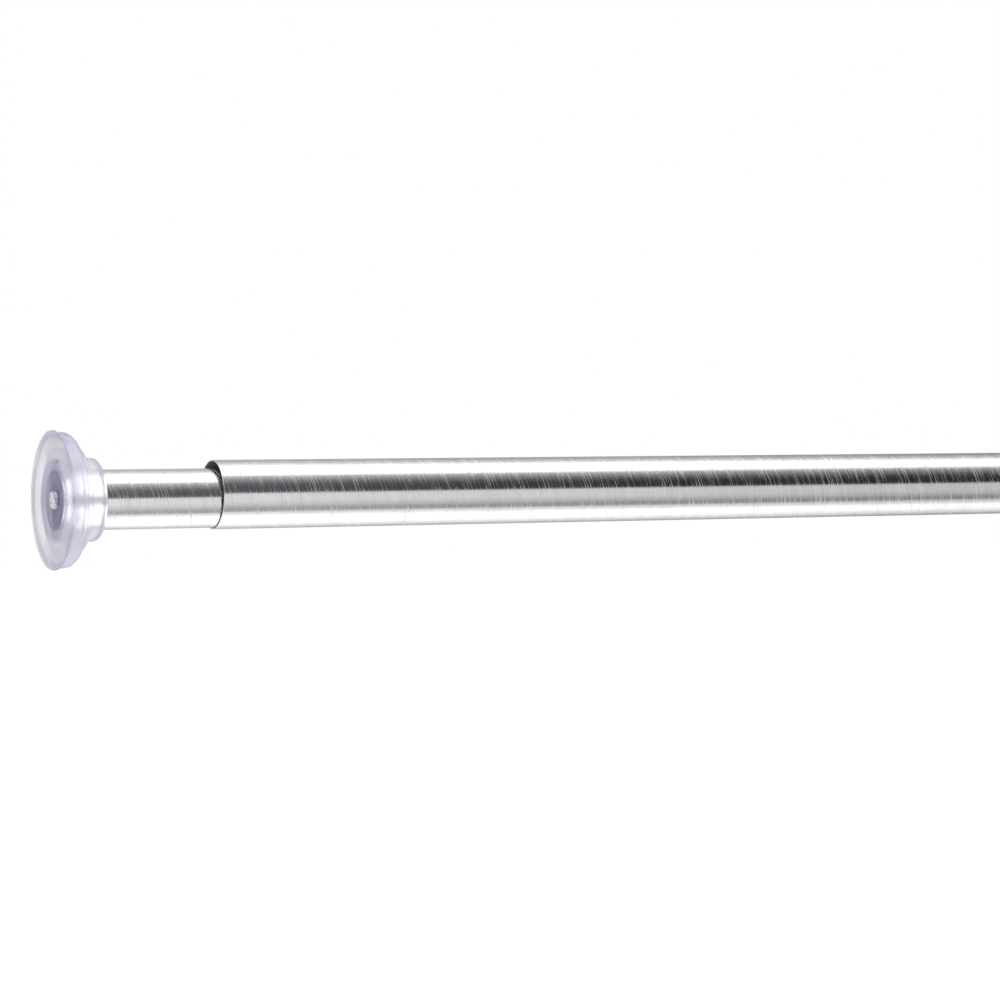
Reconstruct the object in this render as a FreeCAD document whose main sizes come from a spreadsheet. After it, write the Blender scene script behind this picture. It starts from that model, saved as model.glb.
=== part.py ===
import FreeCAD, Part
import os

import Sketcher
from FreeCAD import Placement, Rotation, Vector

# Spring tension rod: two telescoping steel tubes with a clear wall foot on each end.
# A twist lock in the outer tube holds the set length. It carries a sprung plunger rod in the inner tube,
# so the rod can be pushed shorter, set between two walls and let go.
# The rod lies along X, and the inner tube points to -X.
# The origin is the centre of the outer foot's wall face.

doc = FreeCAD.newDocument("spring_tension_rod")

# Driving dimensions, in millimetres, degrees or turns
SIZES = {
    # tubes
    "outer_tube_diameter": 22.2,
    "outer_tube_wall": 0.4,
    "outer_tube_length": 600.0,
    "inner_tube_wall": 0.5,
    "tube_play": 1.2,
    "slide_gap": 0.1,
    "reveal": 38.7,
    "edge_break": 0.15,
    "bead_depth": 0.8,
    "bead_width": 3.0,
    # wall feet
    "foot_flange_width": 7.15,
    "foot_lip_thickness": 0.8,
    "foot_lip_overhang": 0.6,
    "foot_disc_straight": 3.0,
    "foot_shoulder_length": 2.9,
    "foot_shoulder_drop": 1.7,
    "foot_step_length": 2.6,
    "foot_step_width": 3.4,
    "step_bevel": 0.6,
    "collar_length": 5.9,
    "collar_wall": 3.65,
    "collar_round": 1.6,
    "rim_land": 0.8,
    "dish_depth": 0.6,
    "foot_web": 1.4,
    "nub_diameter": 5.6,
    "gate_recess_diameter": 16.4,
    "gate_recess_depth": 0.7,
    "nub_height": 1.25,
    "nub_bevel": 0.25,
    "push_gap": 0.05,
    # spring and its two seats
    "spring_wire": 1.6,
    "spring_gap": 0.9,
    "spring_length": 110.0,
    "spring_turns": 9.0,
    "spring_end_turns": 1.0,
    "coil_gap": 0.1,
    "spigot_gap": 0.3,
    "spigot_length": 8.0,
    "anchor_length": 20.0,
    "follower_length": 8.0,
    "follower_gap": 0.4,
    "plug_bevel": 0.5,
    # plunger rod and guide bush
    "rod_flats": 6.0,
    "rod_gap": 0.05,
    "bush_bevel": 0.4,
    "spring_travel": 25.0,
    "travel_room": 8.0,
    "bush_flange": 2.0,
    "bush_length": 18.0,
    "bush_bead_setback": 8.0,
    "stop_gap": 0.1,
    # twist lock
    "lock_angle": 65.0,
    "ring_play": 0.4,
    "ring_length": 12.0,
    "ring_slit": 2.0,
    "ring_side_gap": 0.1,
    "ring_flutes": 12.0,
    "flute_radius": 0.5,
    "journal_diameter": 12.0,
    "journal_gap": 0.05,
    "hub_flange": 4.0,
    "hub_socket_depth": 12.0,
    "lock_bevel": 0.4,
    "washer_diameter": 16.6,
    "washer_thickness": 1.2,
    "end_room": 24.0,
    # screws
    "screw_diameter": 3.0,
    "screw_length": 14.0,
    "screw_tip_room": 1.0,
    "screw_head_diameter": 6.0,
    "screw_head_height": 2.2,
    "screw_hole_gap": 0.1,
    "screw_head_bevel": 0.6,
    "recess_width": 0.9,
    "recess_length": 3.6,
    "recess_depth": 1.2,
}

sheet = doc.addObject("Spreadsheet::Sheet", "Sheet")
for row, (alias, size) in enumerate(SIZES.items(), start=1):
    sheet.set(f"A{row}", alias)
    sheet.set(f"B{row}", str(size))
    sheet.setAlias(f"B{row}", alias)
doc.recompute()


def cell(alias):
    """The sheet's cell of that name, for use in an expression."""
    return f"Sheet.{alias}"


def value(expression):
    """The number that an expression of the sheet's cells has now."""
    return float(sheet.evalExpression(str(expression)))


# Sizes that follow from the driving dimensions, as expressions of the sheet's cells
outer_radius = f"({cell('outer_tube_diameter')} / 2)"
outer_bore = f"({outer_radius} - {cell('outer_tube_wall')})"
inner_radius = f"({outer_bore} - {cell('tube_play')})"
inner_bore = f"({inner_radius} - {cell('inner_tube_wall')})"
plug_radius = f"({inner_bore} - {cell('push_gap')})"
bead_half = f"({cell('bead_width')} / 2)"

disc_length = f"({cell('foot_disc_straight')} + {cell('foot_shoulder_length')})"
step_end = f"({disc_length} + {cell('foot_step_length')})"
foot_length = f"({step_end} + {cell('collar_length')})"
socket_floor = f"({cell('dish_depth')} + {cell('foot_web')})"
rim_radius = f"({outer_radius} + {cell('collar_wall')} + {cell('foot_flange_width')})"

spring_radius = f"({inner_bore} - {cell('spring_gap')} - {cell('spring_wire')} / 2)"
spigot_radius = f"({spring_radius} - {cell('spring_wire')} / 2 - {cell('spigot_gap')})"
screw_radius = f"({cell('screw_diameter')} / 2)"
screw_hole = f"({screw_radius} + {cell('screw_hole_gap')})"
tapped_hole = f"({screw_radius} + {cell('push_gap')})"

# Twist lock: the inner tube lies on the floor of the outer tube's bore and the ring bears on its roof.
# The journal's axis is where a turn of lock_angle brings the two axes together.
inner_drop = f"({cell('tube_play')} - {cell('slide_gap')})"
ring_rise = f"({cell('ring_play')} - {cell('slide_gap')})"
half_spread = f"(({inner_drop} + {ring_rise}) / 2)"
journal_side = f"({half_spread} / tan({cell('lock_angle')} / 2))"
journal_radius = f"({cell('journal_diameter')} / 2)"
journal_length = f"({cell('ring_length')} + 2 * {cell('ring_side_gap')})"
hub_length = f"({cell('hub_flange')} + {journal_length})"

# Stations along X, from the outer foot's wall face at 0
outer_tube_end = f"(-{socket_floor})"
outer_mouth = f"({outer_tube_end} - {cell('outer_tube_length')})"
inner_wall_face = f"({outer_mouth} - {cell('reveal')} - {foot_length})"
inner_tube_start = f"({inner_wall_face} + {socket_floor})"
screw_seat = f"({outer_tube_end} - {cell('end_room')} - {cell('screw_head_height')})"
hub_end = f"({screw_seat} - {cell('washer_thickness')})"
hub_start = f"({hub_end} - {hub_length})"
ring_start = f"({hub_start} + {cell('hub_flange')} + {cell('ring_side_gap')})"
bush_face = f"({hub_start} - {cell('spring_travel')} - {cell('travel_room')})"
inner_tube_end = f"({bush_face} - {cell('bush_flange')})"
follower_face = f"({inner_tube_end} - {cell('bush_length')} - {cell('stop_gap')})"
spring_end = f"({follower_face} - {cell('follower_length')})"
anchor_face = f"({spring_end} - {cell('spring_length')})"
inner_tube_length = f"({inner_tube_end} - {inner_tube_start})"
bush_bead = f"({inner_tube_length} - {cell('bush_bead_setback')})"
anchor_bead = f"({anchor_face} - {cell('anchor_length')} / 2 - {inner_tube_start})"
rod_start = f"({follower_face} - {cell('follower_length')})"
rod_length = f"({hub_start} + {cell('hub_socket_depth')} - {rod_start})"


def piece(label):
    """An empty body that becomes one sub-part."""
    body = doc.addObject("PartDesign::Body", label)
    body.Label = label
    return body


def place(body, x, z="0", turned_round=False):
    """Sets a body at X and Z. A body that is turned round points its own +X to the part's -X."""
    if turned_round:
        body.Placement = Placement(Vector(), Rotation(Vector(0, 0, 1), 180))
    body.setExpression("Placement.Base.x", x)
    body.setExpression("Placement.Base.z", z)


def new_sketch(body, role, offset="0"):
    """A sketch on one of the body's origin planes, moved along the plane's normal by offset."""
    sketch = body.newObject("Sketcher::SketchObject", f"{body.Label}_sketch")
    plane = [p for p in body.Origin.OriginFeatures if p.Role == role][0]
    sketch.AttachmentSupport = [(plane, "")]
    sketch.MapMode = "FlatFace"
    sketch.setExpression("AttachmentOffset.Base.z", offset)
    return sketch


def pin_point(sketch, geometry, vertex, x, y):
    """Fixes a vertex of a sketch at two expressions."""
    for kind, expression in (("DistanceX", x), ("DistanceY", y)):
        size = value(expression)
        index = sketch.addConstraint(Sketcher.Constraint(kind, -1, 1, geometry, vertex, size))
        sketch.setExpression(f"Constraints[{index}]", expression)


def outline(body, role, points, offset="0"):
    """A sketch of one closed outline through points, each a pair of expressions.

    A third expression is the radius of the clockwise arc, under half a turn, that leads to the next point.
    """
    sketch = new_sketch(body, role, offset)
    corners = [Vector(value(point[0]), value(point[1]), 0) for point in points]
    ends = []
    for index, point in enumerate(points):
        here = corners[index]
        there = corners[(index + 1) % len(corners)]
        if len(point) == 2:
            sketch.addGeometry(Part.LineSegment(here, there), False)
            ends.append((1, 2))
            continue
        radius = value(point[2])
        chord = there - here
        across = Vector(-chord.y, chord.x, 0).normalize()
        rise = radius - (radius ** 2 - (chord.Length / 2) ** 2) ** 0.5
        middle = here + chord * 0.5 + across * rise
        sketch.addGeometry(Part.Arc(here, middle, there), False)
        ends.append((2, 1))
    for index, point in enumerate(points):
        following = (index + 1) % len(points)
        joined = Sketcher.Constraint("Coincident", index, ends[index][1], following, ends[following][0])
        sketch.addConstraint(joined)
        pin_point(sketch, index, ends[index][0], point[0], point[1])
        if len(point) == 3:
            ring = sketch.addConstraint(Sketcher.Constraint("Radius", index, value(point[2])))
            sketch.setExpression(f"Constraints[{ring}]", point[2])
    return sketch


def circles(body, rounds, offset="0"):
    """A sketch across X of full circles, each a centre's y and z and a radius."""
    sketch = new_sketch(body, "YZ_Plane", offset)
    for y, z, radius in rounds:
        centre = Vector(value(y), value(z), 0)
        index = sketch.addGeometry(Part.Circle(centre, Vector(0, 0, 1), value(radius)), False)
        pin_point(sketch, index, 3, y, z)
        ring = sketch.addConstraint(Sketcher.Constraint("Radius", index, value(radius)))
        sketch.setExpression(f"Constraints[{ring}]", radius)
    return sketch


def hexagon(body, flats, offset="0"):
    """A sketch across X of a hexagon, given its width across flats."""
    half = f"({flats} / 2)"
    low = f"({half} * tan(30))"
    tip = f"({half} / cos(30))"
    right = [("0", f"-{tip}"), (half, f"-{low}"), (half, low)]
    left = [("0", tip), (f"-{half}", low), (f"-{half}", f"-{low}")]
    return outline(body, "YZ_Plane", right + left, offset)


def turn(body, points):
    """Turns a half outline of (x, radius) points about the X axis."""
    sketch = outline(body, "XZ_Plane", points)
    turned = body.newObject("PartDesign::Revolution", f"{body.Label}_turned")
    turned.Profile = sketch
    turned.ReferenceAxis = (sketch, ["H_Axis"])
    turned.Angle = 360
    doc.recompute()
    return turned


def pad(body, sketch, length):
    """Adds the sketch's area, from its plane towards +X."""
    added = body.newObject("PartDesign::Pad", f"{body.Label}_pad")
    added.Profile = sketch
    added.setExpression("Length", length)
    doc.recompute()
    return added


def pocket(body, sketch, depth, towards_plus_x=True):
    """Cuts the sketch's area away, from its plane towards +X or -X."""
    before = body.Shape.Volume
    cut = body.newObject("PartDesign::Pocket", f"{body.Label}_pocket")
    cut.Profile = sketch
    cut.Reversed = towards_plus_x
    cut.setExpression("Length", depth)
    doc.recompute()
    if not body.Shape.Volume < before:
        raise ValueError(f"a pocket of {body.Label} cuts nothing")
    return cut


def rings(body, feature, wanted):
    """The names of the feature's circular edges that have one of the wanted (x, radius) pairs."""
    names = []
    pairs = [(value(x), value(radius)) for x, radius in wanted]
    for number, edge in enumerate(feature.Shape.Edges, start=1):
        curve = edge.Curve
        if curve.TypeId != "Part::GeomCircle":
            continue
        for x, radius in pairs:
            if abs(curve.Center.x - x) < 1e-4 and abs(curve.Radius - radius) < 1e-4:
                names.append(f"Edge{number}")
    if len(names) < len(pairs):
        raise ValueError(f"an edge of {body.Label} wasn't found")
    return names


def ease(body, kind, size, wanted):
    """Rounds or chamfers circular edges of the body's last feature."""
    base = body.Tip
    property_name = "Radius" if kind == "Fillet" else "Size"
    eased = body.newObject(f"PartDesign::{kind}", f"{body.Label}_{kind.lower()}")
    eased.Base = (base, rings(body, base, wanted))
    eased.setExpression(property_name, size)
    doc.recompute()
    return eased


def wall_foot(label, tube_radius):
    """A clear soft foot, moulded in one piece and pushed over a tube's end.

    Its own X runs from the wall face towards the tube. The front is a very shallow dish, and the moulding's
    gate nub stands in a conical recess at its centre, clear of the wall. Behind the thin lip are the disc, its
    shoulder, a step and the collar.
    """
    collar = f"({tube_radius} + {cell('collar_wall')})"
    socket = f"({tube_radius} + {cell('push_gap')})"
    step = f"({collar} + {cell('foot_step_width')})"
    disc = f"({rim_radius} - {cell('foot_lip_overhang')})"
    along = cell("foot_shoulder_length")
    drop = cell("foot_shoulder_drop")
    shoulder = f"({disc} - {drop})"
    shoulder_round = f"(({along}^2 + {drop}^2) / (2 * {drop}))"
    land = f"({rim_radius} - {cell('rim_land')})"
    nub = f"({cell('nub_diameter')} / 2)"
    recess = f"({cell('gate_recess_diameter')} / 2)"
    recess_floor = f"({cell('dish_depth')} + {cell('gate_recess_depth')})"
    nub_face = f"({recess_floor} - {cell('nub_height')})"
    foot = piece(label)
    turn(foot, [
        (nub_face, "0"),
        (nub_face, nub),
        (recess_floor, nub),
        (cell("dish_depth"), recess),
        (cell("dish_depth"), collar),
        ("0", land),
        ("0", rim_radius),
        (cell("foot_lip_thickness"), rim_radius),
        (cell("foot_lip_thickness"), disc),
        (cell("foot_disc_straight"), disc, shoulder_round),
        (disc_length, shoulder),
        (disc_length, step),
        (step_end, step),
        (step_end, collar),
        (foot_length, collar),
        (foot_length, socket),
        (socket_floor, socket),
        (socket_floor, "0"),
    ])
    ease(foot, "Fillet", cell("collar_round"), [(foot_length, collar)])
    ease(foot, "Chamfer", cell("step_bevel"), [(step_end, step)])
    ease(foot, "Chamfer", cell("nub_bevel"), [(nub_face, nub)])
    return foot


def tube(label, length, radius, wall, beads):
    """A steel tube along +X from 0, with rolled-in beads at the given stations and deburred edges."""
    depth = cell("bead_depth")
    bore = f"({radius} - {wall})"
    outside = [("0", radius)]
    inside = [("0", bore)]
    for station in beads:
        for side, sink in ((f"-{bead_half}", "0"), ("0", depth), (f"+{bead_half}", "0")):
            outside.append((f"({station} {side})" if side != "0" else station, f"({radius} - {sink})"))
            inside.append((f"({station} {side})" if side != "0" else station, f"({bore} - {sink})"))
    outside.append((length, radius))
    inside.append((length, bore))
    body = piece(label)
    turn(body, outside + inside[::-1])
    ease(body, "Chamfer", cell("edge_break"), [("0", radius), (length, radius)])
    return body


def seat_groove(station):
    """Outline points of the V groove that a tube's bead rolls into, in a plug at that station."""
    half = f"({bead_half} + {cell('push_gap')})"
    floor = f"({plug_radius} - {cell('bead_depth')} - {cell('push_gap')})"
    return [
        (f"({station} - {half})", plug_radius),
        (station, floor),
        (f"({station} + {half})", plug_radius),
    ]


def spring_anchor():
    """The plug that the spring pushes on. Its own X is 0 at its face, and the spigot stands out to +X."""
    body = piece("spring_anchor")
    back = f"(-{cell('anchor_length')})"
    turn(body, [
        (back, "0"),
        (back, plug_radius),
        *seat_groove(f"(-{cell('anchor_length')} / 2)"),
        ("0", plug_radius),
        ("0", spigot_radius),
        (cell("spigot_length"), spigot_radius),
        (cell("spigot_length"), "0"),
    ])
    ease(body, "Chamfer", cell("plug_bevel"), [(cell("spigot_length"), spigot_radius), (back, plug_radius)])
    return body


def spring_follower():
    """The sprung seat on the plunger rod. Its own X is 0 at the face that stops against the guide bush."""
    body = piece("spring_follower")
    seat = f"(-{cell('follower_length')})"
    tip = f"({seat} - {cell('spigot_length')})"
    disc = f"({inner_bore} - {cell('follower_gap')})"
    turn(body, [
        ("0", "0"),
        ("0", disc),
        (seat, disc),
        (seat, spigot_radius),
        (tip, spigot_radius),
        (tip, "0"),
    ])
    hole = hexagon(body, f"({cell('rod_flats')} + 2 * {cell('push_gap')})", seat)
    pocket(body, hole, cell("follower_length"))
    pocket(body, circles(body, [("0", "0", screw_hole)], tip), cell("spigot_length"))
    ease(body, "Chamfer", cell("plug_bevel"), [(tip, spigot_radius)])
    return body


def guide_bush():
    """The bush in the inner tube's end, where the rod slides but can't turn. Its own X is 0 at that end."""
    body = piece("guide_bush")
    tail = f"(-{cell('bush_length')})"
    turn(body, [
        (tail, "0"),
        (tail, plug_radius),
        *seat_groove(f"(-{cell('bush_bead_setback')})"),
        ("0", plug_radius),
        ("0", inner_radius),
        (cell("bush_flange"), inner_radius),
        (cell("bush_flange"), "0"),
    ])
    hole = hexagon(body, f"({cell('rod_flats')} + 2 * {cell('rod_gap')})", tail)
    pocket(body, hole, f"({cell('bush_length')} + {cell('bush_flange')})")
    ease(body, "Chamfer", cell("bush_bevel"), [(cell("bush_flange"), inner_radius)])
    return body


def plunger_rod():
    """The hexagonal steel rod, tapped at both ends. Its own X is 0 at the end in the follower."""
    body = piece("plunger_rod")
    pad(body, hexagon(body, cell("rod_flats")), rod_length)
    follower_tap = f"({cell('screw_length')} - {cell('spigot_length')} + {cell('screw_tip_room')})"
    hub_wall = f"({hub_length} - {cell('hub_socket_depth')})"
    hub_grip = f"({hub_wall} + {cell('washer_thickness')})"
    hub_tap = f"({cell('screw_length')} - {hub_grip} + {cell('screw_tip_room')})"
    pocket(body, circles(body, [("0", "0", tapped_hole)]), follower_tap)
    pocket(body, circles(body, [("0", "0", tapped_hole)], rod_length), hub_tap, towards_plus_x=False)
    return body


def cam_hub():
    """The hub on the rod's outer end: a round guide flange, at its own X of 0, and an eccentric journal."""
    body = piece("cam_hub")
    pad(body, circles(body, [("0", "0", inner_radius)]), cell("hub_flange"))
    journal = [(journal_side, half_spread, journal_radius)]
    pad(body, circles(body, journal, cell("hub_flange")), journal_length)
    pocket(body, hexagon(body, f"({cell('rod_flats')} + 2 * {cell('push_gap')})"), cell("hub_socket_depth"))
    hole = circles(body, [("0", "0", screw_hole)], cell("hub_socket_depth"))
    pocket(body, hole, f"({hub_length} - {cell('hub_socket_depth')})")
    ease(body, "Chamfer", cell("lock_bevel"), [("0", inner_radius), (cell("hub_flange"), inner_radius)])
    return body


def cam_ring():
    """The slit ring that rides on the journal, with friction flutes round its outside."""
    body = piece("cam_ring")
    radius = f"({outer_bore} - {cell('ring_play')})"
    bore = f"({journal_radius} + {cell('journal_gap')})"
    drop = f"(-{half_spread})"
    pad(body, circles(body, [("0", "0", radius), (journal_side, drop, bore)]), cell("ring_length"))
    ease(body, "Chamfer", cell("lock_bevel"), [("0", radius), (cell("ring_length"), radius)])
    half = f"({cell('ring_slit')} / 2)"
    far = f"(-{radius} - {cell('ring_play')})"
    slit = [(far, f"({drop} - {half})"), (journal_side, f"({drop} - {half})"),
            (journal_side, f"({drop} + {half})"), (far, f"({drop} + {half})")]
    pocket(body, outline(body, "YZ_Plane", slit), cell("ring_length"))
    flute = pocket(body, circles(body, [(radius, "0", cell("flute_radius"))]), cell("ring_length"))
    pattern = body.newObject("PartDesign::PolarPattern", "cam_ring_flutes")
    pattern.Originals = [flute]
    pattern.Axis = ([a for a in body.Origin.OriginFeatures if a.Role == "X_Axis"][0], [""])
    pattern.Angle = 360
    pattern.setExpression("Occurrences", cell("ring_flutes"))
    body.Tip = pattern
    doc.recompute()
    return body


def cam_washer():
    """The steel washer that keeps the ring on its journal."""
    body = piece("cam_washer")
    washer = [("0", "0", f"({cell('washer_diameter')} / 2)"), ("0", "0", screw_hole)]
    pad(body, circles(body, washer), cell("washer_thickness"))
    return body


def pan_screw(label):
    """A cross-recessed pan head screw. Its own X is 0 under the head, and the shank points to -X."""
    body = piece(label)
    head = f"({cell('screw_head_diameter')} / 2)"
    tip = f"(-{cell('screw_length')})"
    top = cell("screw_head_height")
    turn(body, [(tip, "0"), (tip, screw_radius), ("0", screw_radius), ("0", head), (top, head), (top, "0")])
    ease(body, "Chamfer", cell("screw_head_bevel"), [(top, head)])
    wide = f"({cell('recess_width')} / 2)"
    long = f"({cell('recess_length')} / 2)"
    for across, along in ((wide, long), (long, wide)):
        arm = [(f"-{across}", f"-{along}"), (across, f"-{along}"), (across, along), (f"-{across}", along)]
        pocket(body, outline(body, "YZ_Plane", arm, top), cell("recess_depth"), towards_plus_x=False)
    return body


WIRE_FLATS = 8


def tension_spring():
    """The compression spring, with a closed turn at each end. Its own X is 0 at its anchor end.

    The round wire has WIRE_FLATS flats, so that its many turns have few facets.
    """
    body = piece("tension_spring")
    wire = cell("spring_wire")
    closed_pitch = f"({wire} + {cell('coil_gap')})"
    closed_length = f"({closed_pitch} * {cell('spring_end_turns')})"
    first = f"({wire} / 2 + {cell('coil_gap')})"
    active_length = f"({cell('spring_length')} - 2 * {first} - 2 * {closed_length})"
    active_pitch = f"({active_length} / {cell('spring_turns')})"
    start = first
    spans = [(closed_pitch, closed_length), (active_pitch, active_length), (closed_pitch, closed_length)]
    for pitch, length in spans:
        corners = []
        for flat in range(WIRE_FLATS):
            angle = 360 * (flat + 0.5) / WIRE_FLATS
            along = f"({start} + {wire} / 2 * cos({angle}))"
            corners.append((along, f"({spring_radius} + {wire} / 2 * sin({angle}))"))
        section = outline(body, "XZ_Plane", corners)
        coil = body.newObject("PartDesign::AdditiveHelix", "tension_spring_coil")
        coil.Profile = section
        coil.ReferenceAxis = (section, ["H_Axis"])
        coil.Mode = "pitch-height-angle"
        coil.setExpression("Pitch", pitch)
        coil.setExpression("Height", length)
        doc.recompute()
        start = f"({start} + {length})"
    return body


# The pieces, each set at its station
lowered = f"(-{inner_drop})"
raised = ring_rise
outer_tube = tube("outer_tube", cell("outer_tube_length"), outer_radius, cell("outer_tube_wall"), [])
beads = [anchor_bead, bush_bead]
inner_tube = tube("inner_tube", inner_tube_length, inner_radius, cell("inner_tube_wall"), beads)
place(wall_foot("outer_foot", outer_radius), "0", turned_round=True)
place(wall_foot("inner_foot", inner_radius), inner_wall_face, lowered)
place(outer_tube, outer_mouth)
place(inner_tube, inner_tube_start, lowered)
place(spring_anchor(), anchor_face, lowered)
place(tension_spring(), anchor_face, lowered)
place(spring_follower(), follower_face, lowered)
place(pan_screw("follower_screw"), f"({spring_end} - {cell('spigot_length')})", lowered, turned_round=True)
place(plunger_rod(), rod_start, lowered)
place(guide_bush(), inner_tube_end, lowered)
place(cam_hub(), hub_start, lowered)
place(cam_ring(), ring_start, raised)
place(cam_washer(), hub_end, lowered)
place(pan_screw("cam_screw"), screw_seat, lowered)
doc.recompute()

# Every object is checked before anything is written
for item in doc.Objects:
    if "Invalid" in item.State or "Error" in item.State:
        raise ValueError(f"{item.Label} failed to build")
pieces = [item for item in doc.Objects if item.TypeId == "PartDesign::Body"]
for body in pieces:
    if body.Shape.isNull() or not body.Shape.isValid():
        raise ValueError(f"{body.Label} has no valid shape")

os.makedirs("parts", exist_ok=True)
for body in pieces:
    body.Shape.exportStep(f"parts/{body.Label}.step")
    box = body.Shape.BoundBox
    print(f"{body.Label}: {len(body.Shape.Solids)} solid, {body.Shape.Volume:.1f} mm3,"
          f" x {box.XMin:.2f} to {box.XMax:.2f}, z {box.ZMin:.2f} to {box.ZMax:.2f}")
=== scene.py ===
import math

import bmesh
import bpy
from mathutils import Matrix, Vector, noise


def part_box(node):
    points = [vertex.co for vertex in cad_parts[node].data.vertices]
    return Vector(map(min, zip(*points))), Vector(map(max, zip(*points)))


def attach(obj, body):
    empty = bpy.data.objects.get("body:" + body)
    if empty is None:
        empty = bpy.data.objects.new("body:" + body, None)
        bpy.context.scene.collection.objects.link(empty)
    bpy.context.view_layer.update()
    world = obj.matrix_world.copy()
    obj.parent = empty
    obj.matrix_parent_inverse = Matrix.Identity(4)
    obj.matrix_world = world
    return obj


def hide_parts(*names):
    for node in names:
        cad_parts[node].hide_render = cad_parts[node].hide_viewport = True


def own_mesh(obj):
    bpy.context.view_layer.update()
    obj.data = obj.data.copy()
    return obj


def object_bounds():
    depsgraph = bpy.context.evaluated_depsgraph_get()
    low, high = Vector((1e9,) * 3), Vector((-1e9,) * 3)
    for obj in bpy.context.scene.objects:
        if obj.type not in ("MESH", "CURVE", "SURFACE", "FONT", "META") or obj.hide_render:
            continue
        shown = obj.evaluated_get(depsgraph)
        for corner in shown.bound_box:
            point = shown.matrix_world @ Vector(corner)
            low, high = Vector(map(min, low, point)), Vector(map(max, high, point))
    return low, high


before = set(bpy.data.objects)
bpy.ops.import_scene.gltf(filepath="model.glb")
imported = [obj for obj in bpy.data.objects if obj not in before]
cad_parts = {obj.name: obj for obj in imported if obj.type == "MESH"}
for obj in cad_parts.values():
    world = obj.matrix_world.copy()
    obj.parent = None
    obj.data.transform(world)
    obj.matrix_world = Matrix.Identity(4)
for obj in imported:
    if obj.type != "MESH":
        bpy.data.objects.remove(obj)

cad_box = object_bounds()

# Inner tube: welded steel tube with a thin wall, polished by a belt that runs round it.
# Two rolled beads hold the spring's plug and the guide bush, and the near end is in the foot.
# All lengths in this file are metres, and the rod lies along X.
INNER_WALL = 0.0005
TUBE_EDGE = 0.0002
BEAD_STATIONS = [-0.2267, -0.0886]
BEAD_DEPTH = 0.0008
BEAD_HALF = 0.0015
BEAD_EDGE_ROUND = 0.0008
BEAD_FLOOR_ROUND = 0.0006
BORE_SHARE = 0.45
ROUND_STEPS = 256
ARC_STEP = math.radians(12)
SHARP_ANGLE = math.radians(50)
ON_AXIS = 1e-7
# A point just past each end of an arc keeps the flats flat: shares of the arc's round and of the room there
HOLD_OF_ROUND = 0.3
HOLD_OF_ROOM = 0.2
STEEL_COLOUR = (0.716, 0.72, 0.727, 1)
STEEL_DULL = 0.92
POLISH_SLANT = 0.27
# Width and length of the polishing lines, of the broad streaks and of the rare deeper scratches
POLISH_LINES = (0.00030, 0.010)
BROAD_STREAKS = (0.0030, 0.020)
DEEP_SCRATCHES = (0.00034, 0.012)
# Where those patterns start to mark the steel and where they mark it fully
LINE_CUT = (0.50, 0.70)
SCRATCH_CUT = (0.66, 0.74)
NOISE_RANGE = (0.3, 0.7)
POLISH_ROUGH = 0.05
LINE_ROUGH = 0.32
SCRATCH_ROUGH = 0.24
SCRATCH_DEPTH = 0.5
POLISH_STRENGTH = 0.6
POLISH_RELIEF = 0.00006
BORE_DEEP = (0.46, 0.46, 0.48, 1)
BORE_PALE = (0.64, 0.64, 0.65, 1)
BORE_LINES = (40.0, 1500.0, 1500.0)

inner_low, inner_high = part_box("inner_tube")
INNER_RADIUS = (inner_high.y - inner_low.y) / 2
INNER_AXIS = (inner_high.z + inner_low.z) / 2


def rounded(corners):
    """The outline of (x, radius, corner round) points, with an arc at each corner that has a round."""
    points = [Vector(corner[:2]) for corner in corners]
    sizes = [corner[2] for corner in corners]
    smooth = []
    for index, (here, size) in enumerate(zip(points, sizes)):
        if size == 0:
            smooth.append(here)
            continue
        before = points[index - 1] - here
        after = points[(index + 1) % len(points)] - here
        room = min(before.length, after.length)
        before.normalize()
        after.normalize()
        half = before.angle(after) / 2
        reach = size / math.tan(half)
        middle = here + (before + after).normalized() * size / math.sin(half)
        start = here + before * reach - middle
        end = here + after * reach - middle
        hold = min(HOLD_OF_ROUND * size, HOLD_OF_ROOM * (room - reach))
        smooth.append(middle + start + before * hold)
        begin = math.atan2(start.y, start.x)
        sweep = math.remainder(math.atan2(end.y, end.x) - begin, 2 * math.pi)
        steps = max(3, round(abs(sweep) / ARC_STEP))
        for step in range(steps + 1):
            angle = begin + sweep * step / steps
            smooth.append(middle + Vector((math.cos(angle), math.sin(angle))) * size)
        smooth.append(middle + end + after * hold)
    return smooth


def smooth_piece(name, shape):
    """The object of a finished bmesh, shaded smooth with its hard edges kept."""
    bmesh.ops.recalc_face_normals(shape, faces=shape.faces)
    mesh = bpy.data.meshes.new(name)
    shape.to_mesh(mesh)
    shape.free()
    mesh.shade_smooth()
    mesh.set_sharp_from_angle(angle=SHARP_ANGLE)
    piece = bpy.data.objects.new(name, mesh)
    bpy.context.scene.collection.objects.link(piece)
    return piece


def turned(name, outline, axis_height, closed):
    """A piece turned about the rod's axis. A closed outline is a tube's, an open one ends on the axis."""
    shape = bmesh.new()
    rings = []
    for x, radius in outline:
        if radius < ON_AXIS:
            rings.append([shape.verts.new((x, 0, axis_height))])
            continue
        ring = []
        for step in range(ROUND_STEPS):
            angle = 2 * math.pi * step / ROUND_STEPS
            height = axis_height + radius * math.cos(angle)
            ring.append(shape.verts.new((x, radius * math.sin(angle), height)))
        rings.append(ring)
    pairs = list(zip(rings, rings[1:]))
    if closed:
        pairs.append((rings[-1], rings[0]))
    for first, second in pairs:
        for step in range(ROUND_STEPS):
            following = (step + 1) % ROUND_STEPS
            corners = [first[step % len(first)], first[following % len(first)]]
            corners += [second[following % len(second)], second[step % len(second)]]
            shape.faces.new(list(dict.fromkeys(corners)))
    return smooth_piece(name, shape)


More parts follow.
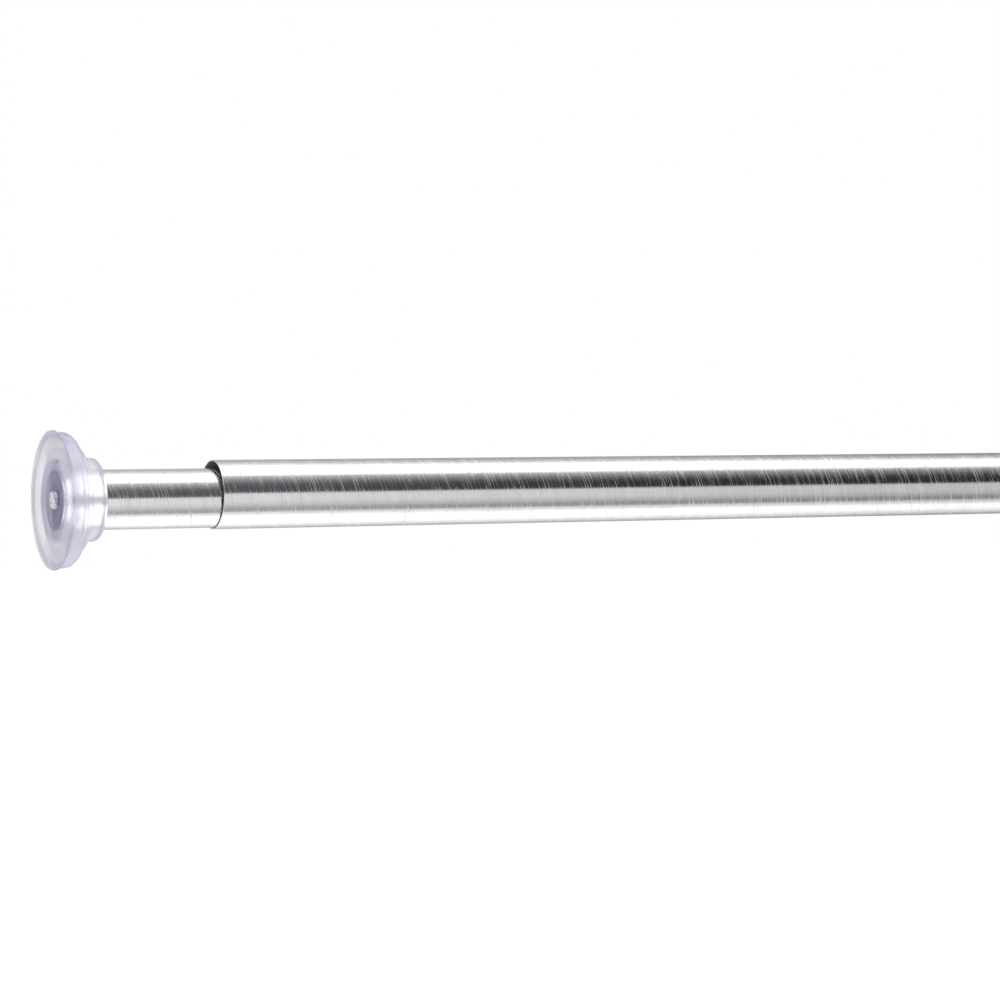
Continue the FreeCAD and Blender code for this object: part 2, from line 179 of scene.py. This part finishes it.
def add_node(tree, kind, inputs=None, **settings):
    """A shader node whose inputs are values or other nodes' outputs."""
    made = tree.nodes.new(kind)
    for name, setting in settings.items():
        setattr(made, name, setting)
    for socket, source in (inputs or {}).items():
        if isinstance(source, bpy.types.NodeSocket):
            tree.links.new(source, made.inputs[socket])
        else:
            made.inputs[socket].default_value = source
    return made


def new_material(name, metal=0.0):
    """A material with its tree and its Principled shader."""
    material = bpy.data.materials.new(name)
    material.use_nodes = True
    tree = material.node_tree
    tree.nodes.clear()
    shader = add_node(tree, "ShaderNodeBsdfPrincipled", {"Metallic": metal})
    add_node(tree, "ShaderNodeOutputMaterial", {"Surface": shader.outputs[0]})
    return material, tree, shader


def place_on_piece(tree):
    """The point's place in the frame."""
    return add_node(tree, "ShaderNodeTexCoord").outputs["Object"]


def sums(tree, operation, *terms):
    """The output of one Math node."""
    return add_node(tree, "ShaderNodeMath", dict(enumerate(terms)), operation=operation).outputs[0]


def span(tree, source, low, high, to_low, to_high):
    """A value carried over from one range to another, and held at its ends."""
    ranges = {0: source, 1: low, 2: high, 3: to_low, 4: to_high}
    return add_node(tree, "ShaderNodeMapRange", ranges).outputs[0]


def comes_in(tree, source, start, stop):
    """0 up to start and 1 from stop on."""
    return span(tree, source, start, stop, 0.0, 1.0)


def speckle(tree, place, scale, detail):
    """Noise from 0 to 1, mostly within NOISE_RANGE."""
    texture = add_node(tree, "ShaderNodeTexNoise", {"Vector": place, "Scale": scale, "Detail": detail})
    return texture.outputs["Fac"]


def spread(tree, pattern, low, high):
    """A noise pattern carried over to a range of its own."""
    return span(tree, pattern, *NOISE_RANGE, low, high)


def colour_mix(tree, share, first, second, **settings):
    """The first colour at a share of 0, going over to the second."""
    mix = add_node(tree, "ShaderNodeMix", {0: share, 6: first, 7: second}, data_type="RGBA", **settings)
    return mix.outputs[2]


def dress(tree, shader, colour, rough, height, strength, relief):
    """Gives a shader its colour, its roughness and the relief of a height pattern."""
    bump = add_node(tree, "ShaderNodeBump", {"Height": height, "Strength": strength, "Distance": relief})
    tree.links.new(colour, shader.inputs["Base Color"])
    tree.links.new(rough, shader.inputs["Roughness"])
    tree.links.new(bump.outputs[0], shader.inputs["Normal"])


def belt_polished_steel(name, radius, axis_height):
    """Bright steel with the fine slanted lines that a polishing belt leaves round a tube."""
    material, tree, shader = new_material(name, metal=1.0)
    parts = add_node(tree, "ShaderNodeSeparateXYZ", {0: place_on_piece(tree)}).outputs
    height = sums(tree, "SUBTRACT", parts[2], axis_height)
    angle = sums(tree, "ARCTAN2", parts[1], height)
    along = sums(tree, "MULTIPLY_ADD", angle, radius * POLISH_SLANT, parts[0])

    def lines(size, detail):
        """Noise drawn out round the tube into lines of that width and length."""
        width, length = size
        across = sums(tree, "DIVIDE", along, width)
        side = sums(tree, "DIVIDE", parts[1], length)
        up = sums(tree, "DIVIDE", height, length)
        point = add_node(tree, "ShaderNodeCombineXYZ", {0: across, 1: side, 2: up}).outputs[0]
        return speckle(tree, point, scale=1.0, detail=detail)

    fine = lines(POLISH_LINES, detail=2.0)
    broad = lines(BROAD_STREAKS, detail=2.0)
    rare = lines(DEEP_SCRATCHES, detail=0.0)
    line = comes_in(tree, fine, *LINE_CUT)
    scratch = comes_in(tree, rare, *SCRATCH_CUT)
    rough = sums(tree, "MULTIPLY_ADD", line, LINE_ROUGH, POLISH_ROUGH)
    rough = sums(tree, "MULTIPLY_ADD", scratch, SCRATCH_ROUGH, rough)
    relief = sums(tree, "MULTIPLY_ADD", scratch, SCRATCH_DEPTH, fine)
    dull = tuple(STEEL_DULL * part for part in STEEL_COLOUR[:3]) + (1,)
    tint = colour_mix(tree, spread(tree, broad, 0.0, 1.0), dull, STEEL_COLOUR)
    dress(tree, shader, tint, rough, relief, POLISH_STRENGTH, POLISH_RELIEF)
    return material


def drawn_bore(name):
    """Dull grey steel with the lengthwise lines of the rolls, as it is inside a tube."""
    material, tree, shader = new_material(name, metal=1.0)
    place = place_on_piece(tree)
    drawn = add_node(tree, "ShaderNodeMapping", {"Vector": place, "Scale": BORE_LINES}).outputs[0]
    grain = speckle(tree, drawn, scale=1.0, detail=3.0)
    tint = colour_mix(tree, grain, BORE_DEEP, BORE_PALE)
    dress(tree, shader, tint, spread(tree, grain, 0.50, 0.64), grain, strength=0.4, relief=0.00004)
    return material


def steel_tube(name, low, high, radius, wall, axis_height, beads):
    """A tube from low to high along X, with rolled-in beads and deburred edges."""
    outside = [(low, radius, TUBE_EDGE)]
    inside = [(low, radius - wall, TUBE_EDGE / 2)]
    bead = (
        (-BEAD_HALF, 0, BEAD_EDGE_ROUND),
        (0, BEAD_DEPTH, BEAD_FLOOR_ROUND),
        (BEAD_HALF, 0, BEAD_EDGE_ROUND),
    )
    for station in beads:
        for offset, sink, size in bead:
            outside.append((station + offset, radius - sink, size))
            inside.append((station + offset, radius - wall - sink, size))
    outside.append((high, radius, TUBE_EDGE))
    inside.append((high, radius - wall, TUBE_EDGE / 2))
    tube = turned(name, rounded(outside + inside[::-1]), axis_height, closed=True)
    tube.data.materials.append(belt_polished_steel(name + "_steel", radius, axis_height))
    tube.data.materials.append(bore_steel)
    for face in tube.data.polygons:
        inward = -face.center.y * face.normal.y - (face.center.z - axis_height) * face.normal.z
        if inward > BORE_SHARE * radius:
            face.material_index = 1
    return tube


bore_steel = drawn_bore("tube_bore_steel")
inner_tube = steel_tube("polished_inner_tube", inner_low.x, inner_high.x, INNER_RADIUS, INNER_WALL,
                        INNER_AXIS, BEAD_STATIONS)
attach(inner_tube, "inner")
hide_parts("inner_tube")

# Spring plug, spring seat, guide bush and the lock's hub and ring: moulded natural nylon.
# The tube's beads hold the plug and the bush, and the seat and hub are screwed to the plunger rod.
# The ring is slit and rides on the hub's eccentric journal, where a twist wedges it in the outer tube.
NYLON_PIECES = ("spring_anchor", "spring_follower", "guide_bush", "cam_hub", "cam_ring")
NYLON_PALE = (0.88, 0.87, 0.82, 1)
NYLON_DEEP = (0.80, 0.79, 0.73, 1)
NYLON_GLOW = 0.15
NYLON_GLOW_REACH = (0.002, 0.0018, 0.0014)


def moulded_nylon(name):
    """Milky nylon with a soft cloudiness and the fine grain of a mould's eroded wall."""
    material, tree, shader = new_material(name)
    place = place_on_piece(tree)
    cloud = speckle(tree, place, scale=160.0, detail=3.0)
    grain = speckle(tree, place, scale=2600.0, detail=2.0)
    tint = colour_mix(tree, cloud, NYLON_DEEP, NYLON_PALE)
    dress(tree, shader, tint, spread(tree, grain, 0.42, 0.58), grain, strength=0.25, relief=0.00005)
    shader.inputs["Subsurface Weight"].default_value = NYLON_GLOW
    shader.inputs["Subsurface Radius"].default_value = NYLON_GLOW_REACH
    return material


def finish_nodes(nodes, material):
    """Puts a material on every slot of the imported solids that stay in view."""
    for node in nodes:
        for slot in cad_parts[node].material_slots:
            slot.material = material


finish_nodes(NYLON_PIECES, moulded_nylon("natural_nylon"))

# Compression spring: oiled drawn wire, wound with a closed turn at each end.
# It stands between the plug and the seat in the inner tube, and is built at one length, though the real one
# shortens as the rod is pushed in.
SPRING_START = -0.2167
SPRING_END = -0.1067
WIRE_RADIUS = 0.0008
WIRE_GAP = 0.0001
COIL_RADIUS = 0.0073
CLOSED_PITCH = 0.0017
OPEN_TURNS = 9
WIRE_SIDES = 16
TURN_STEPS = 64
WIRE_DARK = (0.30, 0.30, 0.31, 1)
WIRE_LIGHT = (0.45, 0.45, 0.46, 1)


def coil_line():
    """Points along the wire's middle: a closed turn, the open turns and another closed turn."""
    seat = WIRE_RADIUS + WIRE_GAP
    open_pitch = (SPRING_END - SPRING_START - 2 * seat - 2 * CLOSED_PITCH) / OPEN_TURNS
    line = []
    for step in range((OPEN_TURNS + 2) * TURN_STEPS + 1):
        turn = step / TURN_STEPS
        opened = min(max(turn - 1, 0), OPEN_TURNS)
        x = SPRING_START + seat + opened * open_pitch + (turn - opened) * CLOSED_PITCH
        angle = 2 * math.pi * turn
        line.append(Vector((x, -COIL_RADIUS * math.sin(angle), INNER_AXIS + COIL_RADIUS * math.cos(angle))))
    return line


def spring_wire():
    """The wire swept along the coil, with square-cut ends."""
    line = coil_line()
    shape = bmesh.new()
    rings = []
    for index, middle in enumerate(line):
        ahead = (line[min(index + 1, len(line) - 1)] - line[max(index - 1, 0)]).normalized()
        outward = (middle - Vector((middle.x, 0, INNER_AXIS))).normalized()
        across = ahead.cross(outward).normalized()
        ring = []
        for side in range(WIRE_SIDES):
            angle = 2 * math.pi * side / WIRE_SIDES
            offset = outward * math.cos(angle) + across * math.sin(angle)
            ring.append(shape.verts.new(middle + offset * WIRE_RADIUS))
        rings.append(ring)
    for first, second in zip(rings, rings[1:]):
        for side in range(WIRE_SIDES):
            following = (side + 1) % WIRE_SIDES
            shape.faces.new((first[side], first[following], second[following], second[side]))
    shape.faces.new(rings[0])
    shape.faces.new(rings[-1])
    return smooth_piece("wound_spring", shape)


def oiled_wire(name):
    """Dark drawn steel with draw lines and an uneven film of oil."""
    material, tree, shader = new_material(name, metal=1.0)
    place = place_on_piece(tree)
    film = speckle(tree, place, scale=240.0, detail=3.0)
    draw = speckle(tree, place, scale=1800.0, detail=2.0)
    tint = colour_mix(tree, film, WIRE_DARK, WIRE_LIGHT)
    dress(tree, shader, tint, spread(tree, film, 0.22, 0.40), draw, strength=0.3, relief=0.00003)
    return material


spring = spring_wire()
spring.data.materials.append(oiled_wire("oiled_spring_wire"))
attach(spring, "inner")
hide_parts("tension_spring")
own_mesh(spring)

# Plunger rod, its two screws and the lock's washer: steel, zinc plated after machining.
# The rod slides through the bush's hexagonal hole, and a screw in each end holds what it carries.
ZINC_PIECES = ("plunger_rod", "follower_screw", "cam_screw", "cam_washer")
ZINC_PALE = (0.72, 0.72, 0.70, 1)
ZINC_DEEP = (0.60, 0.61, 0.62, 1)


def zinc_plate(name):
    """Bright zinc with the mottled bloom of its passivation."""
    material, tree, shader = new_material(name, metal=1.0)
    place = place_on_piece(tree)
    bloom = speckle(tree, place, scale=420.0, detail=4.0)
    grain = speckle(tree, place, scale=3000.0, detail=1.0)
    tint = colour_mix(tree, bloom, ZINC_DEEP, ZINC_PALE)
    dress(tree, shader, tint, spread(tree, bloom, 0.24, 0.38), grain, strength=0.15, relief=0.00003)
    return material


finish_nodes(ZINC_PIECES, zinc_plate("zinc_plated_steel"))

# Outer tube: the wider tube of the same polished steel, with a plain cut and deburred mouth.
# The inner tube and its lock slide in it, and its far end is pushed into the outer foot.
OUTER_WALL = 0.0004
OUTER_AXIS = 0.0

outer_low, outer_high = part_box("outer_tube")
OUTER_RADIUS = (outer_high.y - outer_low.y) / 2
outer_tube = steel_tube("polished_outer_tube", outer_low.x, outer_high.x, OUTER_RADIUS, OUTER_WALL,
                        OUTER_AXIS, [])
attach(outer_tube, "outer")
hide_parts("outer_tube")

# Wall feet: soft clear PVC with a violet cast and a satin skin, each one moulding pushed over a tube's end.
# A thin lip and a shallow dish face the wall, with a torn gate nub in a conical recess at the dish's centre.
# The tear has whitened the nub, and the socket's floor keeps the mould's dull finish, with painted violet
# shade on it for the tube's dark end behind.
RIM_RADIUS = 0.0219
DISC_RADIUS = 0.0213
SHOULDER_RADIUS = 0.0196
LIP_THICKNESS = 0.0008
SHOULDER_START = 0.003
SHOULDER_END = 0.0059
SHOULDER_STEPS = 12
STEP_WIDTH = 0.0034
STEP_END = 0.0085
COLLAR_WALL = 0.00365
FOOT_LENGTH = 0.0144
RIM_LAND = 0.0008
DISH_DEPTH = 0.0006
RECESS_RADIUS = 0.0082
RECESS_FLOOR = 0.0013
SOCKET_FLOOR = 0.002
PUSH_GAP = 0.00005
DISH_ROUND = 0.045
DISH_EDGE_ROUND = 0.012
RECESS_ROUND = 0.02
LIP_ROUND = 0.00025
CREASE_ROUND = 0.00012
SHOULDER_EDGE_ROUND = 0.0002
STEP_FOOT_ROUND = 0.00025
STEP_ROUND = 0.0006
COLLAR_ROUND = 0.0016
SOCKET_MOUTH_ROUND = 0.00015
NUB_RADIUS = 0.0028
NUB_FACE = 0.00005
NUB_EDGE_ROUND = 0.00015
NUB_ROOT_ROUND = 0.0002
NUB_RINGS = 12
# Rings along the nub's side, as shares of the recess's depth
NUB_SIDE_RINGS = (0.4, 0.7)
# The tear's reach, as shares of the nub's radius and of the recess's depth
TEAR_TOP = 0.97
TEAR_SIDE = 1.02
TEAR_ROOT = 0.8
TEAR_DEPTH = 0.0003
TEAR_GRAIN = 1300.0
TEAR_WAIST = 0.12
WAIST_GRAIN = 900.0
WAIST_SHIFT = Vector((7, 0, 0))
CLEAR_PALE = (0.985, 0.98, 0.99, 1)
FACE_PALE = (0.85, 0.845, 0.85, 1)
# The PVC's violet with painted shade: the front over the collar is darkened for the tube's dark end seen
# through it
FRONT_PAINTED_SHADE_VIOLET = (0.44, 0.405, 0.58, 1)
# The PVC's violet with painted shade on the lip's edge, darker as the clear edge looks in the light
LIP_PAINTED_SHADE_VIOLET = (0.66, 0.63, 0.76, 1)
# The PVC's violet with painted shade on the socket's floor, for the tube's dark end behind it
SOCKET_PAINTED_SHADE_VIOLET = (0.46, 0.395, 0.80, 1)
TORN_DEEP = (0.52, 0.51, 0.55, 1)
TORN_PALE = (1.0, 1.0, 1.0, 1)
TORN_CUT = (0.40, 0.62)
# Where each look starts and stops: in from the rim, then ahead of the socket's floor, then out from the tube
FACE_EDGE = (0.0012, 0.0006)
# Where the painted shade on the lip's edge starts, in from the rim
LIP_SHADE_EDGE = (0.0003, 0.0001)
SOCKET_EDGE = (0.0003, 0.0001)
SOCKET_SKIN = (0.0001, 0.0003)
# Where the painted shade on the front over the collar fades out, beyond the tube
FRONT_SHADE_EDGE = (0.0025, 0.0046)
# How far behind the recess's floor the front's look fades out
FRONT_BLEND = 0.0003
# Where looks start and stop as shares of the tube's radius, of the nub's radius and of the recess's depth
SOCKET_CORE = (0.50, 1.0)
TORN_SIDE = (1.15, 1.2)
TORN_ROOT = (0.85, 0.99)
SATIN_ROUGH = (0.28, 0.32)
FACE_ROUGH = 0.02
SOCKET_SHINE = 0.25
TORN_ROUGH = 0.12
PVC_CLEAR = 0.97
WALL_HAZE = 0.05
FLOOR_HAZE = 0.50
TORN_HAZE = 0.85
PVC_IOR = 1.53
PVC_ABSORBS = (0.80, 0.78, 0.89, 1)
PVC_DENSITY = 42.0


def foot_corners(tube_radius):
    """Half of a foot's section, from nub to socket, as (depth from the wall, radius, corner round)."""
    collar = tube_radius + COLLAR_WALL
    socket = tube_radius + PUSH_GAP
    step = collar + STEP_WIDTH
    run = SHOULDER_END - SHOULDER_START
    drop = DISC_RADIUS - SHOULDER_RADIUS
    shoulder_round = (run ** 2 + drop ** 2) / (2 * drop)
    shoulder = []
    for index in range(1, SHOULDER_STEPS):
        x = run * index / SHOULDER_STEPS
        fall = shoulder_round - math.sqrt(shoulder_round ** 2 - x ** 2)
        shoulder.append((SHOULDER_START + x, DISC_RADIUS - fall, 0))
    return [
        *[(NUB_FACE, NUB_RADIUS * ring / NUB_RINGS, 0) for ring in range(NUB_RINGS - 1)],
        (NUB_FACE, NUB_RADIUS, NUB_EDGE_ROUND),
        *[(RECESS_FLOOR * share, NUB_RADIUS, 0) for share in NUB_SIDE_RINGS],
        (RECESS_FLOOR, NUB_RADIUS, NUB_ROOT_ROUND),
        (DISH_DEPTH, RECESS_RADIUS, RECESS_ROUND),
        (DISH_DEPTH, collar, DISH_ROUND),
        (0, RIM_RADIUS - RIM_LAND, DISH_EDGE_ROUND),
        (0, RIM_RADIUS, LIP_ROUND),
        (LIP_THICKNESS, RIM_RADIUS, LIP_ROUND),
        (LIP_THICKNESS, DISC_RADIUS, CREASE_ROUND),
        (SHOULDER_START, DISC_RADIUS, 0),
        *shoulder,
        (SHOULDER_END, SHOULDER_RADIUS, SHOULDER_EDGE_ROUND),
        (SHOULDER_END, step, STEP_FOOT_ROUND),
        (STEP_END, step, STEP_ROUND),
        (STEP_END, collar, STEP_FOOT_ROUND),
        (FOOT_LENGTH, collar, COLLAR_ROUND),
        (FOOT_LENGTH, socket, SOCKET_MOUTH_ROUND),
        (SOCKET_FLOOR, socket, CREASE_ROUND),
        (SOCKET_FLOOR, 0, 0),
    ]


def tear_nub(foot, wall_x, side, axis_height):
    """Breaks up the nub's end and makes its waist uneven, as a torn gate's are."""
    centre = Vector((wall_x, 0, axis_height))
    for vertex in foot.data.vertices:
        place = vertex.co - centre
        depth = place.x * side
        away = math.hypot(place.y, place.z)
        if away > TEAR_SIDE * NUB_RADIUS or depth > TEAR_ROOT * RECESS_FLOOR:
            continue
        if away < TEAR_TOP * NUB_RADIUS:
            vertex.co.x += side * TEAR_DEPTH * (0.5 + 0.5 * noise.noise(place * TEAR_GRAIN))
        waist = 1 + TEAR_WAIST * noise.noise(place * WAIST_GRAIN + WAIST_SHIFT)
        vertex.co.y = place.y * waist
        vertex.co.z = axis_height + place.z * waist


def goes_out(tree, source, start, stop):
    """1 up to start and 0 from stop on."""
    return span(tree, source, start, stop, 1.0, 0.0)


def clear_pvc(name, tube_radius, wall_x, side, axis_height):
    """Clear PVC: satin outside, violet with painted shade on the front over the thick collar and on the
    lip's edge, dull violet with painted shade on the socket's floor, torn at the gate.
    """
    material, tree, shader = new_material(name)
    place = place_on_piece(tree)
    parts = add_node(tree, "ShaderNodeSeparateXYZ", {0: place}).outputs
    depth = sums(tree, "MULTIPLY", sums(tree, "SUBTRACT", parts[0], wall_x), side)
    up = sums(tree, "SUBTRACT", parts[2], axis_height)
    away = sums(tree, "SQRT", sums(tree, "MULTIPLY_ADD", parts[1], parts[1], sums(tree, "MULTIPLY", up, up)))

    front = goes_out(tree, depth, RECESS_FLOOR, RECESS_FLOOR + FRONT_BLEND)
    behind = comes_in(tree, depth, *[SOCKET_FLOOR - ahead for ahead in SOCKET_EDGE])
    # Painted shade with the violet on the lip's outer edge
    lip_painted_shade = comes_in(tree, away, *[RIM_RADIUS - inset for inset in LIP_SHADE_EDGE])
    face = sums(tree, "MULTIPLY", front, goes_out(tree, away, *[RIM_RADIUS - inset for inset in FACE_EDGE]))
    # Painted shade with the violet on the front over the collar, for the tube's dark end seen through it
    front_painted_shade = sums(tree, "MULTIPLY", front, goes_out(tree, away, *[tube_radius + out for out in FRONT_SHADE_EDGE]))
    wall = sums(tree, "MULTIPLY", behind, goes_out(tree, away, *[tube_radius + out for out in SOCKET_SKIN]))
    # The socket's floor: a dull finish, and painted violet shade for the tube's dark end behind it
    floor = sums(tree, "MULTIPLY", behind,
                 goes_out(tree, away, *[tube_radius * share for share in SOCKET_CORE]))
    torn = sums(tree, "MULTIPLY", goes_out(tree, away, *[NUB_RADIUS * share for share in TORN_SIDE]),
                goes_out(tree, depth, *[RECESS_FLOOR * share for share in TORN_ROOT]))

    haze = speckle(tree, place, scale=900.0, detail=3.0)
    tear = speckle(tree, place, TEAR_GRAIN, detail=4.0)
    rough = spread(tree, haze, *SATIN_ROUGH)
    for look, share in ((face, FACE_ROUGH), (wall, -SOCKET_SHINE), (torn, TORN_ROUGH)):
        rough = sums(tree, "MULTIPLY_ADD", look, share, rough)
    sheer = PVC_CLEAR
    for look, share in ((wall, WALL_HAZE), (floor, FLOOR_HAZE), (torn, TORN_HAZE)):
        sheer = sums(tree, "MULTIPLY_ADD", look, -share, sheer)
    tree.links.new(span(tree, sheer, 0.0, 1.0, 0.0, 1.0), shader.inputs["Transmission Weight"])
    stub = colour_mix(tree, comes_in(tree, tear, *TORN_CUT), TORN_DEEP, TORN_PALE)
    skin = CLEAR_PALE
    looks = ((face, FACE_PALE), (front_painted_shade, FRONT_PAINTED_SHADE_VIOLET), (lip_painted_shade, LIP_PAINTED_SHADE_VIOLET), (floor, SOCKET_PAINTED_SHADE_VIOLET), (torn, stub))
    for look, colour in looks:
        skin = colour_mix(tree, look, skin, colour)
    dress(tree, shader, skin, rough, sums(tree, "MULTIPLY", tear, torn), strength=0.8, relief=0.0004)
    shader.inputs["IOR"].default_value = PVC_IOR
    absorb = add_node(tree, "ShaderNodeVolumeAbsorption", {"Color": PVC_ABSORBS, "Density": PVC_DENSITY})
    tree.links.new(absorb.outputs[0], tree.nodes["Material Output"].inputs["Volume"])
    return material


def wall_foot(name, tube_radius, wall_x, side, axis_height):
    """A foot whose wall face is at wall_x, with the tube to its +X side (1) or its -X side (-1)."""
    outline = [(wall_x + side * x, radius) for x, radius in rounded(foot_corners(tube_radius))]
    foot = turned(name, outline, axis_height, closed=False)
    tear_nub(foot, wall_x, side, axis_height)
    foot.data.materials.append(clear_pvc(name + "_pvc", tube_radius, wall_x, side, axis_height))
    return foot


inner_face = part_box("inner_foot")[0].x
outer_face = 0.0
inner_foot = wall_foot("clear_inner_foot", INNER_RADIUS, inner_face, 1, INNER_AXIS)
outer_foot = wall_foot("clear_outer_foot", OUTER_RADIUS, outer_face, -1, OUTER_AXIS)
for foot, body, node in ((inner_foot, "inner", "inner_foot"), (outer_foot, "outer", "outer_foot")):
    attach(foot, body)
    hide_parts(node)

# Studio: a pale floor well below the rod, and a white room with a dark card in front and grey walls behind.
# The card and the walls run along the rod and draw the long bands on its polished tubes.
FLOOR_DROP = 0.35
FLOOR_REACH = 6.0
FLOOR_GREY = (0.5, 0.5, 0.5, 1)
FLOOR_ROUGH = 0.9
FLOOR_GLOW = 0.62
WHITE = (1, 1, 1, 1)
# How bright the room is round the rod, on a screen's scale, by degrees from the front horizon over the top
ROOM_BANDS = [
    (-180, 138), (-160, 154), (-142, 186), (-124, 237), (-114, 255), (-100, 285), (-80, 285), (-75, 255),
    (-68, 230), (-62, 210), (-56, 146), (-46, 150), (-38, 178), (-30, 194), (-22, 206), (0, 209),
    (4, 182), (7, 92), (10, 48), (20, 43), (30, 52), (38, 77), (46, 110), (56, 146),
    (64, 182), (67, 240), (72, 300), (104, 300), (113, 237), (126, 194), (144, 160), (162, 150),
]
# How the room fades towards its ends, and the light that its middle adds, by the share of the way to an end
ROOM_FADE = [(0.0, 1.02), (0.36, 1.02), (0.469, 1.0), (0.578, 0.754), (0.65, 0.72), (0.9, 1.0)]
ROOM_LIFT = [(0.0, 0.14), (0.25, 0.14), (0.33, 0.084), (0.36, 0.05), (0.45, 0.0)]
# Bands darker than this are cards, which have a cooler tint
CARD_SHADE = 130
CARD_TINT = (0.93, 1.0, 1.09)
END_WALL = (1.15, 1.15, 1.15, 1)
END_WALL_MIX = (0.68, 0.85, 0.0, 0.55)
# The light through the clear feet as (level, steep, strength when level, strength when steep)
FRONT_GLOW = (0.12, 0.40, 0.80, 2.6)
BACK_GLOW = (0.15, 0.60, 1.0, 0.85)
GLOW_BLEND = 0.15
ALL_BOUNCES = 32
CLEAR_BOUNCES = 24


def screen_to_light(shade):
    """A screen value from 0 to 255 as linear light."""
    part = shade / 255
    return ((part + 0.055) / 1.055) ** 2.4 if part > 0.04045 else part / 12.92


def ramp(tree, source, stops):
    """The output of a colour ramp with (position, colour) stops."""
    made = add_node(tree, "ShaderNodeValToRGB", {0: source})
    elements = made.color_ramp.elements
    while len(elements) < len(stops):
        elements.new(0.5)
    for element, (position, colour) in zip(elements, stops):
        element.position = position
        element.color = (*colour, 1)
    return made.outputs[0]


def studio_world():
    """The room as the world's light. The camera sees plain white, and the feet a softly shaded white."""
    world = bpy.data.worlds.new("studio_room")
    world.use_nodes = True
    tree = world.node_tree
    tree.nodes.clear()
    direction = add_node(tree, "ShaderNodeTexCoord").outputs["Generated"]
    parts = add_node(tree, "ShaderNodeSeparateXYZ", {0: direction}).outputs
    front = sums(tree, "MULTIPLY", parts[1], -1.0)
    turn = span(tree, sums(tree, "ARCTAN2", parts[2], front), -math.pi, math.pi, 0.0, 1.0)
    end = sums(tree, "ABSOLUTE", parts[0])
    stops = []
    for degrees, shade in ROOM_BANDS:
        light = screen_to_light(shade) / STEEL_COLOUR[0]
        tint = CARD_TINT if shade < CARD_SHADE else WHITE[:3]
        stops.append(((degrees + 180) / 360, [light * part for part in tint]))
    bands = ramp(tree, turn, stops)
    fade = ramp(tree, end, [(place, [factor] * 3) for place, factor in ROOM_FADE])
    lift = ramp(tree, end, [(place, [light / STEEL_COLOUR[0]] * 3) for place, light in ROOM_LIFT])
    faded = colour_mix(tree, 1.0, bands, fade, blend_type="MULTIPLY")
    lifted = colour_mix(tree, 1.0, faded, lift, blend_type="ADD")
    room = colour_mix(tree, span(tree, end, *END_WALL_MIX), lifted, END_WALL)

    rise = sums(tree, "ABSOLUTE", parts[2])
    back = span(tree, parts[1], -GLOW_BLEND, GLOW_BLEND, 0.0, 1.0)
    glows = {0: back, 2: span(tree, rise, *FRONT_GLOW), 3: span(tree, rise, *BACK_GLOW)}
    glow = add_node(tree, "ShaderNodeMix", glows).outputs[0]

    def backdrop(colour, strength):
        """A Background shader's output."""
        return add_node(tree, "ShaderNodeBackground", {"Color": colour, "Strength": strength}).outputs[0]

    path = add_node(tree, "ShaderNodeLightPath").outputs
    through = sums(tree, "GREATER_THAN", path["Transmission Depth"], 0.5)
    lights = {0: through, 1: backdrop(room, 1.0), 2: backdrop(WHITE, glow)}
    lit = add_node(tree, "ShaderNodeMixShader", lights).outputs[0]
    sights = {0: path["Is Camera Ray"], 1: lit, 2: backdrop(WHITE, 1.0)}
    seen = add_node(tree, "ShaderNodeMixShader", sights).outputs[0]
    add_node(tree, "ShaderNodeOutputWorld", {"Surface": seen})
    return world


def studio_floor():
    """A wide pale floor that takes the rod's soft shadow and is white beyond it."""
    mesh = bpy.data.meshes.new("studio_floor")
    height = cad_box[0][2] - FLOOR_DROP
    corners = [(FLOOR_REACH * x, FLOOR_REACH * y, height) for x, y in ((-1, -1), (1, -1), (1, 1), (-1, 1))]
    mesh.from_pydata(corners, [], [(0, 1, 2, 3)])
    floor = bpy.data.objects.new("studio_floor", mesh)
    bpy.context.scene.collection.objects.link(floor)
    material, _, shader = new_material("pale_floor")
    shader.inputs["Base Color"].default_value = FLOOR_GREY
    shader.inputs["Roughness"].default_value = FLOOR_ROUGH
    shader.inputs["Specular IOR Level"].default_value = 0.0
    shader.inputs["Emission Color"].default_value = WHITE
    shader.inputs["Emission Strength"].default_value = FLOOR_GLOW
    mesh.materials.append(material)
    floor.visible_glossy = False
    floor.visible_transmission = False


studio_floor()
bpy.context.scene.world = studio_world()
bpy.context.scene.view_settings.view_transform = "Standard"
bpy.context.scene.cycles.max_bounces = ALL_BOUNCES
bpy.context.scene.cycles.glossy_bounces = CLEAR_BOUNCES
bpy.context.scene.cycles.transmission_bounces = CLEAR_BOUNCES

# Camera: a long lens, level with the rod and off its left end, so that the dish of the near foot shows.
# The outer tube runs out of the right side of the picture.
CAMERA_PLACE = (-0.93025, -0.88143, 0.02916)
CAMERA_DIP_DEGREES = 1.890
CAMERA_TURN_DEGREES = -26.034
CAMERA_LENS = 105.6
CAMERA_SENSOR = 36.0
CAMERA_REACH = 50.0

camera_data = bpy.data.cameras.new("photo_camera")
camera_data.sensor_width = CAMERA_SENSOR
camera_data.lens = CAMERA_LENS
camera_data.clip_end = CAMERA_REACH
camera = bpy.data.objects.new("photo_camera", camera_data)
camera.location = CAMERA_PLACE
camera.rotation_euler = (math.radians(90 - CAMERA_DIP_DEGREES), 0, math.radians(CAMERA_TURN_DEGREES))
bpy.context.scene.collection.objects.link(camera)
bpy.context.scene.camera = camera
